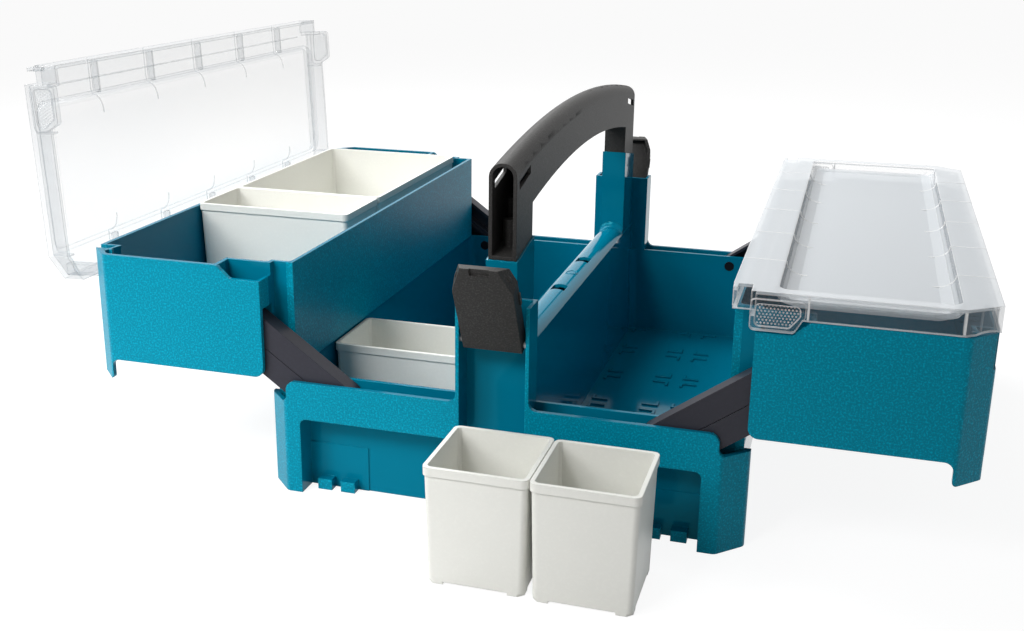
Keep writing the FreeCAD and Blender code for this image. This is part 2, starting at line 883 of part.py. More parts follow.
def latch():
    """The back latch, upright."""
    shell = latch_shell(0.0).cut(latch_shell(latch_wall))
    top = latch_pin_z - latch_below + latch_height
    half_notch = latch_notch_width / 2
    notch = box(-half_notch, half_notch, half_d - latch_notch_depth, half_d + over,
                top - latch_notch_height, top + over)
    barrel_half = latch_face_width / 2 - latch_wall / 2
    barrel = rod_x(latch_pin_y, latch_pin_z, latch_barrel / 2, -barrel_half, barrel_half)
    y_back = half_d - latch_depth
    rib_z = top - latch_rib_drop
    side = latch_back_width / 2
    rib = box(side - latch_wall / 2, side + latch_rib_proud, y_back, y_back + latch_wall,
              rib_z - latch_rib_height, rib_z)
    body = shell.cut(notch).fuse([barrel, rib, flip_x(rib)])
    bore = rod_x(latch_pin_y, latch_pin_z, latch_pin / 2 + pin_clearance, -post_half, post_half)
    return body.cut(bore).removeSplitter()


def latch_pin_rod():
    return rod_x(latch_pin_y, latch_pin_z, latch_pin / 2, -latch_pin_end, latch_pin_end)


def bin_shell(width, depth):
    """Rounded outside of a bin below its rim, drawn in towards the bottom."""
    wires = []
    for inset, z in ((bin_rim + bin_taper, bin_foot), (bin_rim, bin_height)):
        outline = rectangle(inset, width - inset, inset, depth - inset, bin_corner - bin_rim)
        wires.append(wire_xy(outline, z))
    return Part.makeLoft(wires, True, True)


def bin_plan(width, depth, inset, crop):
    """Corners of a bin's plan, drawn in by inset, with a flat across each corner."""
    x0, x1, x2, x3 = inset, inset + crop, width - inset - crop, width - inset
    y0, y1, y2, y3 = inset, inset + crop, depth - inset - crop, depth - inset
    return [(x1, y0), (x2, y0), (x3, y1), (x3, y2), (x2, y3), (x1, y3), (x0, y2), (x0, y1)]


def bin_hollow(width, depth):
    """Flat-sided inside of a bin, drawn in towards the bottom."""
    edge = bin_rim + bin_wall
    rings = []
    for inset, z in ((edge + bin_taper, bin_foot + bin_wall), (edge, bin_height + over)):
        rings.append([Vector(x, y, z) for x, y in bin_plan(width, depth, inset, bin_inner_crop)])
    return flat_sided(*rings)


def bin_feet(width, depth):
    """Four corner feet, flush with the bottom of the sides."""
    edge = bin_rim + bin_taper
    gap = edge + bin_foot_size
    plate = prism_xy(bin_plan(width, depth, edge, bin_corner - bin_rim), 0, bin_foot + bin_wall / 2)
    across = box(gap, width - gap, 0, depth, -over, bin_foot)
    along = box(0, width, gap, depth - gap, -over, bin_foot)
    return plate.cut([across, along])


def parts_bin(cells_x, cells_y):
    """Open bin with a proud rim band, drawn-in walls and four corner feet."""
    width = cells_x * bin_cell - bin_gap
    depth = cells_y * bin_cell - bin_gap
    rim = prism_xy(rectangle(0, width, 0, depth, bin_corner), bin_height - bin_rim_height, bin_height)
    body = bin_shell(width, depth).fuse([rim, bin_feet(width, depth)])
    return body.cut(bin_hollow(width, depth)).removeSplitter()


def opened(shape):
    """A folded-in right tray piece, moved out to where the open tray stands."""
    return moved(shape, x=travel)


def swung(shape, side):
    """Left or right copy of a piece drawn on the right."""
    return flip_x(shape) if side == "left" else shape


def lid_pose(shape, side):
    """The left lid stands open; the right one lies shut."""
    if side == "left":
        shape = turned(shape, Vector(hinge_x, 0, hinge_z), Vector(0, 1, 0), right_angle + lid_open_lean)
    return swung(opened(shape), side)


def side_nodes(side):
    """Tray, lid, arms and pins of one side."""
    nodes = {}
    nodes[side + "_tray"] = swung(opened(tray()), side)
    nodes[side + "_lid"] = lid_pose(lid(), side)
    nodes[side + "_lid_hinge_pins"] = swung(opened(hinge_pins()), side)
    pins = both_ends([moved(p, x=travel) for p in pivot_pins(-reach, tray_pivot_z)])
    nodes[side + "_tray_pivot_pins"] = swung(Part.makeCompound(pins), side)
    for row, x in (("inner", inner_pivot_x), ("outer", outer_pivot_x)):
        back = moved(arm(), x=x, z=pivot_z)
        nodes["rear_" + side + "_" + row + "_arm"] = swung(back, side)
        nodes["front_" + side + "_" + row + "_arm"] = swung(flip_y(back), side)
    return nodes


def end_nodes(end):
    """Latch and latch pin of one end, the latch leaning out of its channel."""
    shape = turned(latch(), Vector(0, latch_pin_y, latch_pin_z), Vector(1, 0, 0), -latch_angle)
    rod = latch_pin_rod()
    if end == "front":
        shape = flip_y(shape)
        rod = flip_y(rod)
    return {end + "_latch": shape, end + "_latch_pin": rod}


def bin_nodes():
    """Bins in the left bay and left tray, and two standing loose in front."""
    tray_x = -(inner_x - bin_gap / 2 + travel)
    bay_x = -(divider_half(wall) + bay_bin_shift + 2 * bin_cell)
    loose_y = -half_d - loose_bin_gap - bin_size
    single = parts_bin(1, 1)
    wide = parts_bin(2, 1)
    nodes = {
        "left_loose_bin": moved(single, loose_bin_x, loose_y),
        "right_loose_bin": moved(single, loose_bin_x + bin_cell, loose_y - loose_bin_stagger),
        "bay_bin": moved(wide, bay_x, bay_bin_y, wall),
        "tray_wide_bin": moved(wide, tray_x, bin_split_y - bin_cell, tray_floor),
        "tray_long_bin": moved(parts_bin(2, long_bin_rows), tray_x, bin_split_y, tray_floor),
    }
    return nodes


def all_nodes():
    pins = four_corners(pivot_pins(0.0, pivot_z))
    nodes = {
        "base_tub": base_tub(),
        "handle": handle(),
        "handle_screws": handle_screws(),
        "base_pivot_pins": Part.makeCompound(pins),
    }
    for side in ("left", "right"):
        nodes.update(side_nodes(side))
    for end in ("front", "rear"):
        nodes.update(end_nodes(end))
    nodes.update(bin_nodes())
    return nodes


os.makedirs("parts", exist_ok=True)
for name, shape in all_nodes().items():
    solids = len(shape.Solids)
    print(name, "solids", solids, "valid", shape.isValid(), "volume", round(shape.Volume / 1000, 2), "cm3")
    shape.exportStep("parts/" + name + ".step")
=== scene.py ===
"""Looks of the folding tool case: materials, fine moulded detail, light and camera."""
import math

import bpy
from mathutils import Matrix, Vector


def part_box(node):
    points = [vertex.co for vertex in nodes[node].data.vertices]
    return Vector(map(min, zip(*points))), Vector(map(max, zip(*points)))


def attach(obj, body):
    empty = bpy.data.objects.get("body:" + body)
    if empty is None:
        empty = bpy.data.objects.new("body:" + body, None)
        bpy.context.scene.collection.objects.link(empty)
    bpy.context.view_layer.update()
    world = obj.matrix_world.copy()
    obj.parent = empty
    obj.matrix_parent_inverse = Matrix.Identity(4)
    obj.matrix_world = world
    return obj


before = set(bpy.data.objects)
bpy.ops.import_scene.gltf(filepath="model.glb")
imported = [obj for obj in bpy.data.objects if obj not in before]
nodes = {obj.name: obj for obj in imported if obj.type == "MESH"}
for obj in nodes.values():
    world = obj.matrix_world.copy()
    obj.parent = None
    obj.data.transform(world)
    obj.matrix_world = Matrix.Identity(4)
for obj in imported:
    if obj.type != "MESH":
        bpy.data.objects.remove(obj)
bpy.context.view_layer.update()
MM = 0.001

# Places taken from the solids, in millimetres
lid_low, lid_high = (Vector(corner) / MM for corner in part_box("right_lid"))
lid_top = lid_high.z
lid_edge = lid_low.x
lid_outer = lid_high.x
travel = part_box("right_tray")[1][0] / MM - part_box("base_tub")[1][0] / MM
hinge_x = sum(c[0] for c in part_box("right_lid_hinge_pins")) / 2 / MM
hinge_z = sum(c[2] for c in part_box("right_lid_hinge_pins")) / 2 / MM
latch_pin_y = sum(c[1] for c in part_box("rear_latch_pin")) / 2 / MM
latch_pin_z = sum(c[2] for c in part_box("rear_latch_pin")) / 2 / MM
half_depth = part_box("base_tub")[1][1] / MM
lid_lean = math.radians(92.5)
latch_lean = math.radians(26.9)
lid_wall = 2.2
bay_floor = 2.5
tray_floor = 76.3
divider_half = 12.3
crown_radius = 12.5
crown_top = 100.6


def linear(hex_colour):
    """An sRGB hex colour as linear RGBA."""
    channels = [int(hex_colour[i:i + 2], 16) / 255 for i in (1, 3, 5)]
    return tuple(c / 12.92 if c <= 0.04045 else ((c + 0.055) / 1.055) ** 2.4 for c in channels) + (1.0,)


def add(tree, kind, inputs=None, **settings):
    """Adds one node with its settings; inputs are values or sockets to link."""
    made = tree.nodes.new(kind)
    for key, value in settings.items():
        setattr(made, key, value)
    for key, value in (inputs or {}).items():
        if isinstance(value, bpy.types.NodeSocket):
            tree.links.new(value, made.inputs[key])
        else:
            made.inputs[key].default_value = value
    return made


def new_material(name):
    """An empty node material and its tree."""
    material = bpy.data.materials.new(name)
    material.use_nodes = True
    material.node_tree.nodes.clear()
    return material, material.node_tree


def per_metre(size_mm):
    """Texture scale whose pattern repeats at a size in millimetres."""
    return 1 / (size_mm * MM)


def outer_skin_mask(tree, place, zone):
    """One on faces that look outwards near the outer skin, nought on the inner walls."""
    skin_from, least_facing = 0.94, 0.3
    cx, cy, half_x, half_y = (v * MM for v in zone)
    away = add(tree, "ShaderNodeVectorMath", {0: place.outputs["Object"], 1: (cx, cy, 0.0)}, operation="SUBTRACT")
    scaled = add(tree, "ShaderNodeVectorMath", {0: away.outputs[0], 1: (1 / half_x, 1 / half_y, 0.0)},
                 operation="MULTIPLY")
    facing = add(tree, "ShaderNodeVectorMath", {0: scaled.outputs[0], 1: place.outputs["Normal"]},
                 operation="DOT_PRODUCT")
    size = add(tree, "ShaderNodeVectorMath", {0: scaled.outputs[0]}, operation="ABSOLUTE")
    axes = add(tree, "ShaderNodeSeparateXYZ", {0: size.outputs[0]})
    furthest = add(tree, "ShaderNodeMath", {0: axes.outputs[0], 1: axes.outputs[1]}, operation="MAXIMUM")
    near = add(tree, "ShaderNodeMath", {0: furthest.outputs[0], 1: skin_from}, operation="GREATER_THAN")
    outward = add(tree, "ShaderNodeMath", {0: facing.outputs["Value"], 1: least_facing}, operation="GREATER_THAN")
    both = add(tree, "ShaderNodeMath", {0: near.outputs[0], 1: outward.outputs[0]}, operation="MULTIPLY")
    return both.outputs[0]


def moulding(name, colour, roughness, grain, sheen="#FFFFFF"):
    """An injection-moulded plastic with one finish all over. grain is (size in mm, depth in mm,
    how much paler the grain tops are painted, a painted highlight for their glints) and sheen is the tint of its
    reflections."""
    material, tree = new_material(name)
    place = add(tree, "ShaderNodeTexCoord")
    surface = moulded_surface(tree, place, linear(colour), roughness, linear(sheen), grain, 1.0)
    add(tree, "ShaderNodeOutputMaterial", {"Surface": surface})
    return material


def two_finish_moulding(name, colours_with_painted_inner_shade, roughness, sheens, grain, zone):
    """Polypropylene with a spark-eroded grain on the outer skin and polished inner walls; colours,
    roughness and sheens are (outer, inner), and zone is (centre x, y, half width, half depth) in mm.
    The darker inner colour is partly the polished finish and partly painted shade on the inner walls."""
    material, tree = new_material(name)
    place = add(tree, "ShaderNodeTexCoord")
    outside = outer_skin_mask(tree, place, zone)
    # Partly painted shade: the inner walls take the darker inner colour
    tint, sheen = (add(tree, "ShaderNodeMix", {"Factor": outside, 6: linear(pair[1]), 7: linear(pair[0])},
                       data_type="RGBA") for pair in (colours_with_painted_inner_shade, sheens))
    shine = add(tree, "ShaderNodeMapRange", {"Value": outside, "To Min": roughness[1], "To Max": roughness[0]})
    surface = moulded_surface(tree, place, tint.outputs[2], shine.outputs[0], sheen.outputs[2], grain, outside)
    add(tree, "ShaderNodeOutputMaterial", {"Surface": surface})
    return material


def moulded_surface(tree, place, colour, roughness, sheen, grain, grained):
    """The plastic shader itself: a faint cloudiness in the melt and the grain of the mould, whose
    tops are painted paler as a painted highlight for the glints they catch. grained says how much of the grain a point
    carries."""
    grain_mm, grain_depth_mm, painted_glint = grain
    cloud_mm, edge_radius_mm = 60, 0.7
    where = place.outputs["Object"]
    cloud = add(tree, "ShaderNodeTexNoise", {"Vector": where, "Scale": per_metre(cloud_mm), "Detail": 2.0})
    pits = add(tree, "ShaderNodeTexNoise", {"Vector": where, "Scale": per_metre(grain_mm), "Detail": 1.5,
                                            "Roughness": 0.6})
    # Painted highlight: the grain tops are painted paler in the colour, standing in for glints
    tops = add(tree, "ShaderNodeMapRange", {"Value": pits.outputs["Fac"], "From Min": 0.48, "From Max": 0.75,
                                            "To Min": 1 - painted_glint / 4, "To Max": 1 + painted_glint})
    cloudy = add(tree, "ShaderNodeMapRange", {"Value": cloud.outputs["Fac"], "To Min": 0.97, "To Max": 1.03})
    plain = add(tree, "ShaderNodeMix", {"Factor": grained, 2: 1.0, 3: tops.outputs[0]})
    tone = add(tree, "ShaderNodeMath", {0: plain.outputs[0], 1: cloudy.outputs[0]}, operation="MULTIPLY")
    toned = add(tree, "ShaderNodeHueSaturation", {"Color": colour, "Value": tone.outputs[0]})
    edge = add(tree, "ShaderNodeBevel", {"Radius": edge_radius_mm * MM}, samples=4)
    relief = add(tree, "ShaderNodeMapRange", {"Value": grained, "To Min": 0.02, "To Max": 1.0})
    bump = add(tree, "ShaderNodeBump", {"Height": pits.outputs["Fac"], "Strength": relief.outputs[0],
                                        "Distance": grain_depth_mm * MM, "Normal": edge.outputs[0]})
    skin = add(tree, "ShaderNodeBsdfPrincipled", {"Base Color": toned.outputs[0], "Roughness": roughness,
                                                  "IOR": 1.49, "Specular IOR Level": 0.2,
                                                  "Specular Tint": sheen, "Normal": bump.outputs[0]})
    return skin.outputs[0]


def clear_polycarbonate(name, plate_axis, plate, skirt, edge):
    """Clear injection-moulded polycarbonate. The plate is sand-textured and looks frosted, the skirts,
    tabs and hooks are polished and let what is behind them show, and the moulded edges carry painted
    light: there the colour goes to the edge colour and the cover rises, a painted highlight where that
    colour is pale and painted shade where it is grey. Each finish is (colour, how much it covers)."""
    frost_mm, frost_depth_mm, edge_radius_mm = 1.2, 0.05, 1.0
    material, tree = new_material(name)
    place = add(tree, "ShaderNodeTexCoord")
    frost = add(tree, "ShaderNodeTexNoise", {"Vector": place.outputs["Object"], "Scale": per_metre(frost_mm),
                                             "Detail": 2.0})
    flat = add(tree, "ShaderNodeVectorMath", {0: place.outputs["Normal"], 1: plate_axis}, operation="DOT_PRODUCT")
    level = add(tree, "ShaderNodeMath", {0: flat.outputs["Value"]}, operation="ABSOLUTE")
    frosted = add(tree, "ShaderNodeMapRange", {"Value": level.outputs[0], "From Min": 0.45, "From Max": 0.8})
    rim = add(tree, "ShaderNodeLayerWeight", {"Blend": 0.3})
    clear = add(tree, "ShaderNodeMapRange", {"Value": rim.outputs["Facing"], "To Min": skirt[1], "To Max": 0.5})
    alpha = add(tree, "ShaderNodeMix", {"Factor": frosted.outputs[0], 2: clear.outputs[0], 3: plate[1]})
    rough = add(tree, "ShaderNodeMapRange", {"Value": frosted.outputs[0], "To Min": 0.06, "To Max": 0.34})
    # Painted edge light: where the bevelled normal turns away, the colour goes to the edge colour and the cover rises
    rounded = add(tree, "ShaderNodeBevel", {"Radius": edge_radius_mm * MM}, samples=6)
    turn = add(tree, "ShaderNodeVectorMath", {0: rounded.outputs[0], 1: place.outputs["Normal"]},
               operation="DOT_PRODUCT")
    painted_edge_light = add(tree, "ShaderNodeMapRange", {"Value": turn.outputs["Value"], "From Min": 0.98, "From Max": 0.8})
    glow = add(tree, "ShaderNodeMath", {0: painted_edge_light.outputs[0], 1: edge[1]}, operation="MULTIPLY")
    cover = add(tree, "ShaderNodeMath", {0: alpha.outputs[0], 1: glow.outputs[0]}, operation="MAXIMUM")
    bump = add(tree, "ShaderNodeBump", {"Height": frost.outputs["Fac"], "Strength": 0.25,
                                        "Distance": frost_depth_mm * MM, "Normal": rounded.outputs[0]})
    tone = add(tree, "ShaderNodeMapRange", {"Value": frost.outputs["Fac"], "To Min": 0.95, "To Max": 1.04})
    body = add(tree, "ShaderNodeMix", {"Factor": frosted.outputs[0], 6: linear(skirt[0]), 7: linear(plate[0])},
               data_type="RGBA")
    tint = add(tree, "ShaderNodeHueSaturation", {"Color": body.outputs[2], "Value": tone.outputs[0]})
    shade = add(tree, "ShaderNodeMix", {"Factor": painted_edge_light.outputs[0], 6: tint.outputs[0], 7: linear(edge[0])},
                data_type="RGBA")
    skin = add(tree, "ShaderNodeBsdfPrincipled", {"Base Color": shade.outputs[2], "Roughness": rough.outputs[0],
                                                  "IOR": 1.58, "Alpha": cover.outputs[0],
                                                  "Normal": bump.outputs[0]})
    add(tree, "ShaderNodeOutputMaterial", {"Surface": skin.outputs[0]})
    return material


def clear_web(name, colour, cover):
    """The same polycarbonate in webs, ridges and dots too thin for two finishes."""
    flow_mm, unevenness = 8, 0.15
    material, tree = new_material(name)
    place = add(tree, "ShaderNodeTexCoord")
    flow = add(tree, "ShaderNodeTexNoise", {"Vector": place.outputs["Object"], "Scale": per_metre(flow_mm)})
    alpha = add(tree, "ShaderNodeMapRange", {"Value": flow.outputs["Fac"], "To Min": cover - unevenness,
                                             "To Max": cover + unevenness})
    skin = add(tree, "ShaderNodeBsdfPrincipled", {"Base Color": linear(colour), "Roughness": 0.15, "IOR": 1.58,
                                                  "Alpha": alpha.outputs[0]})
    add(tree, "ShaderNodeOutputMaterial", {"Surface": skin.outputs[0]})
    return material


def zinc_plated_steel(name):
    """Zinc-plated steel, satin with a fine drawn grain."""
    drawn_mm = 0.8
    material, tree = new_material(name)
    place = add(tree, "ShaderNodeTexCoord")
    drawn = add(tree, "ShaderNodeTexNoise", {"Vector": place.outputs["Object"], "Scale": per_metre(drawn_mm)})
    rough = add(tree, "ShaderNodeMapRange", {"Value": drawn.outputs["Fac"], "To Min": 0.28, "To Max": 0.42})
    metal = add(tree, "ShaderNodeBsdfPrincipled", {"Base Color": linear("#B9BABD"), "Metallic": 1.0,
                                                   "Roughness": rough.outputs[0]})
    add(tree, "ShaderNodeOutputMaterial", {"Surface": metal.outputs[0]})
    return material


def dress(material, *names):
    """Gives CAD nodes their material."""
    for name in names:
        slots = nodes[name].data.materials
        slots.clear()
        slots.append(material)


# Outer and inner finish of the teal mouldings; the darker inner colour is partly the polished finish and partly
# painted shade
teal = ("#00859F", "#006F8A")
teal_shine = (0.4, 0.08)
teal_sheen = ("#90F0FF", "#60F4FF")
# The last grain figure paints the grain tops paler, a painted highlight
teal_grain = (1.1, 0.14, 0.6)
tray_middle = (lid_outer + travel + 13) / 2
base_teal = two_finish_moulding("moulded polypropylene, teal base", teal, teal_shine, teal_sheen, teal_grain,
                                (0, 0, 148, 198))
left_teal = two_finish_moulding("moulded polypropylene, teal left tray", teal, teal_shine, teal_sheen, teal_grain,
                                (-tray_middle, 0, lid_outer - tray_middle, 198))
right_teal = two_finish_moulding("moulded polypropylene, teal right tray", teal, teal_shine, teal_sheen, teal_grain,
                                 (tray_middle, 0, lid_outer - tray_middle, 198))
# The ribs, ring mark and crown fillets take the darker inner colour, partly painted shade
plain_teal = moulding("polished polypropylene, teal", teal[1], teal_shine[1], (1.1, 0.01, 0.02), teal_sheen[1])
# The last grain figure of each moulding below paints its grain tops paler, a painted highlight
black_grip = moulding("moulded polypropylene, black", "#302F2E", 0.5, (1.0, 0.16, 0.7))
arm_nylon = moulding("moulded glass-filled nylon, dark grey", "#2F2F37", 0.36, (1.6, 0.03, 0.08))
bin_styrene = moulding("moulded polystyrene, warm white", "#E9E9E3", 0.4, (2.0, 0.01, 0.02))
pin_acetal = moulding("turned acetal, black", "#17171A", 0.3, (0.8, 0.02, 0.05))
# The two lids are one polycarbonate, tinted apart as painted light and shade: the left lid's plate is painted white as
# if backlit and its skirts, edges and webs painted grey as shade; the right lid's plate and skirts are painted
# grey-blue as shade over the dark tray and its edges and webs painted white as highlight.
left_plate = (-math.sin(lid_lean), 0.0, math.cos(lid_lean))
left_clear_painted_light_and_shade = clear_polycarbonate("moulded polycarbonate, left lid", left_plate, ("#FFFFFF", 0.11),
                                 ("#9AA2A8", 0.12), ("#92989C", 0.8))
right_clear_painted_light_and_shade = clear_polycarbonate("moulded polycarbonate, right lid", (0.0, 0.0, 1.0), ("#D9DEE2", 0.7),
                                  ("#D9DEE2", 0.025), ("#FFFFFF", 0.8))
left_web_painted_shade = clear_web("polycarbonate webs, left lid", "#C6CACC", 0.25)
right_web_painted_light = clear_web("polycarbonate webs, right lid", "#FFFFFF", 0.75)
dot_clear = clear_web("polycarbonate grip dots", "#FFFFFF", 0.25)
steel = zinc_plated_steel("zinc-plated steel")

dress(base_teal, "base_tub")
dress(left_teal, "left_tray")
dress(right_teal, "right_tray")
dress(black_grip, "handle", "front_latch", "rear_latch")
dress(arm_nylon, *[n for n in nodes if n.endswith("_arm")])
dress(bin_styrene, *[n for n in nodes if n.endswith("_bin")])
dress(pin_acetal, *[n for n in nodes if n.endswith("pivot_pins")])
dress(left_clear_painted_light_and_shade, "left_lid")
dress(right_clear_painted_light_and_shade, "right_lid")
dress(steel, "handle_screws", "front_latch_pin", "rear_latch_pin", "left_lid_hinge_pins", "right_lid_hinge_pins")


def growth_tree(name, sizes):
    """A Geometry Nodes tree that takes points, named sizes in metres and a material."""
    tree = bpy.data.node_groups.new(name, "GeometryNodeTree")
    tree.interface.new_socket("Points", in_out="INPUT", socket_type="NodeSocketGeometry")
    for size in sizes:
        tree.interface.new_socket(size, in_out="INPUT", socket_type="NodeSocketFloat")
    tree.interface.new_socket("Material", in_out="INPUT", socket_type="NodeSocketMaterial")
    tree.interface.new_socket("Grown", in_out="OUTPUT", socket_type="NodeSocketGeometry")
    return tree, add(tree, "NodeGroupInput").outputs


def stamp(tree, given, template, scale, turn=(0.0, 0.0, 0.0)):
    """Ends a tree: the template on every point, made real and given its material."""
    stamped = add(tree, "GeometryNodeInstanceOnPoints", {"Points": given["Points"], "Instance": template,
                                                         "Scale": scale, "Rotation": turn})
    real = add(tree, "GeometryNodeRealizeInstances", {"Geometry": stamped.outputs[0]})
    painted = add(tree, "GeometryNodeSetMaterial", {"Geometry": real.outputs[0], "Material": given["Material"]})
    add(tree, "NodeGroupOutput", {"Grown": painted.outputs[0]})
    return tree


def rib_tree():
    """Low bars that stand on their points, of two kinds: points marked as ticks carry the second."""
    tree, given = growth_tree("ribs", ("Bar X", "Bar Y", "Tick X", "Tick Y", "Height"))
    is_tick = add(tree, "GeometryNodeInputNamedAttribute", {"Name": "tick"}, data_type="BOOLEAN")
    bar = add(tree, "ShaderNodeCombineXYZ", {0: given["Bar X"], 1: given["Bar Y"], 2: given["Height"]})
    tick = add(tree, "ShaderNodeCombineXYZ", {0: given["Tick X"], 1: given["Tick Y"], 2: given["Height"]})
    size = add(tree, "GeometryNodeSwitch", {"Switch": is_tick.outputs[0], "False": bar.outputs[0],
                                            "True": tick.outputs[0]}, input_type="VECTOR")
    block = add(tree, "GeometryNodeMeshCube", {"Size": (1.0, 1.0, 1.0)})
    return stamp(tree, given, block.outputs[0], size.outputs[0])


def dome_tree():
    """Low round domes that stand out along Y."""
    tree, given = growth_tree("grip dots", ("Radius", "Height"))
    ball = add(tree, "GeometryNodeMeshUVSphere", {"Segments": 10, "Rings": 6, "Radius": 1.0})
    size = add(tree, "ShaderNodeCombineXYZ", {0: given["Radius"], 1: given["Height"], 2: given["Radius"]})
    return stamp(tree, given, ball.outputs[0], size.outputs[0])


def ridge_tree():
    """Round ridges that run down a hollow slope and out on the plate, turned about Z where marked."""
    tree, given = growth_tree("slope ridges", ("Run", "Drop", "Radius"))
    turn = add(tree, "GeometryNodeInputNamedAttribute", {"Name": "turn"}, data_type="FLOAT")
    about_z = add(tree, "ShaderNodeCombineXYZ", {2: turn.outputs[0]})
    reach = add(tree, "ShaderNodeCombineXYZ", {0: given["Run"]})
    sink = add(tree, "ShaderNodeCombineXYZ", {2: given["Drop"]})
    part_down = add(tree, "ShaderNodeVectorMath", {0: sink.outputs[0], 1: (0, 0, -0.6)}, operation="MULTIPLY")
    end = add(tree, "ShaderNodeVectorMath", {0: reach.outputs[0], 1: sink.outputs[0]}, operation="SUBTRACT")
    part_out = add(tree, "ShaderNodeVectorMath", {0: end.outputs[0], 1: (0.35, 1, 1)}, operation="MULTIPLY")
    sweep = add(tree, "GeometryNodeCurvePrimitiveBezierSegment",
                {"Resolution": 10, "Start": (0, 0, 0), "Start Handle": part_down.outputs[0],
                 "End Handle": part_out.outputs[0], "End": end.outputs[0]})
    wire = add(tree, "GeometryNodeCurvePrimitiveCircle", {"Resolution": 6, "Radius": given["Radius"]})
    ridge = add(tree, "GeometryNodeCurveToMesh", {"Curve": sweep.outputs[0], "Profile Curve": wire.outputs[0],
                                                  "Fill Caps": True})
    return stamp(tree, given, ridge.outputs[0], (1.0, 1.0, 1.0), about_z.outputs[0])


def grow(name, tree, points, sizes, material, **marks):
    """Runs a tree on points in mm, with marks on them, and keeps the result as a plain mesh."""
    mesh = bpy.data.meshes.new(name)
    mesh.from_pydata([Vector(p) * MM for p in points], [], [])
    for mark, values in marks.items():
        kind = "BOOLEAN" if isinstance(values[0], bool) else "FLOAT"
        mesh.attributes.new(mark, kind, "POINT").data.foreach_set("value", values)
    piece = bpy.data.objects.new(name, mesh)
    bpy.context.scene.collection.objects.link(piece)
    modifier = piece.modifiers.new("grow", "NODES")
    modifier.node_group = tree
    given = {key: value * MM for key, value in sizes.items()}
    given["Material"] = material
    for socket in tree.interface.items_tree:
        if socket.in_out == "INPUT" and socket.name in given:
            modifier[socket.identifier] = given[socket.name]
    evaluated = piece.evaluated_get(bpy.context.evaluated_depsgraph_get())
    grown = bpy.data.meshes.new_from_object(evaluated)
    piece.modifiers.clear()
    piece.data = grown
    return piece


def shaped(name, corners, faces, material):
    """A plain mesh piece from corners in mm."""
    mesh = bpy.data.meshes.new(name)
    mesh.from_pydata([Vector(c) * MM for c in corners], [], faces)
    mesh.materials.append(material)
    piece = bpy.data.objects.new(name, mesh)
    bpy.context.scene.collection.objects.link(piece)
    return piece


def blocks(name, boxes, material):
    """One mesh of several square-edged bars, each given by two corners in mm."""
    corners, faces = [], []
    for low, high in boxes:
        start = len(corners)
        corners += [(x, y, z) for z in (low[2], high[2]) for y in (low[1], high[1]) for x in (low[0], high[0])]
        sides = ((0, 2, 3, 1), (4, 5, 7, 6), (0, 1, 5, 4), (1, 3, 7, 5), (3, 2, 6, 7), (2, 0, 4, 6))
        faces += [tuple(start + i for i in side) for side in sides]
    return shaped(name, corners, faces, material)


def floor_corners(columns, rows, inset_x, inset_y):
    """Corner places of every cell between grid lines, with the way its two ribs run."""
    for x0, x1 in zip(columns, columns[1:]):
        for y0, y1 in zip(rows, rows[1:]):
            for x, way_x in ((x0 + inset_x, 1), (x1 - inset_x, -1)):
                for y, way_y in ((y0 + inset_y, 1), (y1 - inset_y, -1)):
                    yield x, y, way_x, way_y


def floor_ribs(name, body, tree, areas, floor_z):
    """Raised corner ribs that locate the bins on a floor; areas are (column lines, row lines)."""
    bar, tick, width, height = 12.0, 6.0, 2.0, 1.2
    inset_x, inset_y = 4.7, 5.5
    points, ticks = [], []
    for columns, rows in areas:
        for x, y, way_x, way_y in floor_corners(columns, rows, inset_x, inset_y):
            points.append((x + way_x * bar / 2, y, floor_z + height / 2))
            points.append((x + way_x * width / 2, y + way_y * (tick / 2 + width / 2), floor_z + height / 2))
            ticks += [False, True]
    sizes = {"Bar X": bar, "Bar Y": width, "Tick X": width, "Tick Y": tick, "Height": height}
    piece = grow(name, tree, points, sizes, plain_teal, tick=ticks)
    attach(piece, body)


def lines(start, pitch, count):
    """Grid lines from a start, at a pitch."""
    return [start + i * pitch for i in range(count + 1)]


def place_lid_piece(piece, side):
    """Moves a piece drawn on the shut right lid to its lid and lets it ride there."""
    if side == "left":
        hinge = Matrix.Translation(Vector((hinge_x, 0, hinge_z)) * MM)
        swing = hinge @ Matrix.Rotation(lid_lean, 4, "Y") @ hinge.inverted()
        piece.data.transform(Matrix.Diagonal((-1, 1, 1, 1)) @ swing)
        piece.data.flip_normals()
    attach(piece, side + "_lid_panel")


def lid_grip(side, dots, material):
    """Rows of grip dots in the pockets of a lid's finger tabs."""
    pocket_x, pocket_z = lid_edge + 13.1, lid_top - 18.8
    width, widening, slant_height = 18.3, 5.2, 6.9
    rows, pitch, row_pitch = 7, 1.9, 1.9 * 0.87
    lowest, first, margins = 1.6, 1.4, 2.4
    dot = {"Radius": 0.6, "Height": 0.35}
    points = []
    for row in range(rows):
        rise = lowest + row * row_pitch
        room = width + widening * min(rise / slant_height, 1.0) - margins
        for column in range(int(room / pitch) + 1):
            x = pocket_x + first + pitch * (column + row % 2 / 2)
            points += [(x, y, pocket_z + rise) for y in (-half_depth, half_depth)]
    place_lid_piece(grow(side + "_lid_grip_dots", dots, points, dot, material), side)


